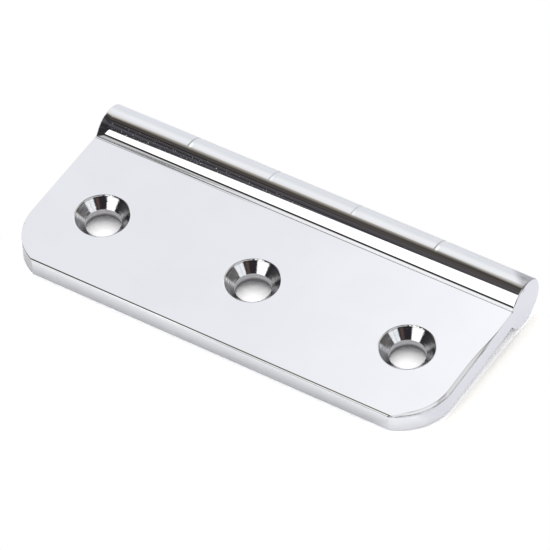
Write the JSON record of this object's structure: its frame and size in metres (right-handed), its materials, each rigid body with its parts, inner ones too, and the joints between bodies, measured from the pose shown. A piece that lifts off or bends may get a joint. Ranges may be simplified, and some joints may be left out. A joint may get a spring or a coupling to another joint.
{
  "type": "dummy butt hinge",
  "caption": "Flat chrome hinge leaf with rounded free corners and countersunk screw holes, made in one piece with a solid grooved false knuckle along its back edge.",
  "frame": {"origin": "bottom centre of the part's box: under the middle of the length and depth, level with the knuckle's lowest line", "axes": "+X along the knuckle, +Y from the free edge towards the knuckle, +Z out of the countersunk face"},
  "size_m": [0.076, 0.0351, 0.0084],
  "materials": {
    "hinge_leaf": "polished chrome plate on solid brass"
  },
  "bodies": {
    "root": {"hinge_leaf": "hinge_leaf"}
  },
  "joints": []
}
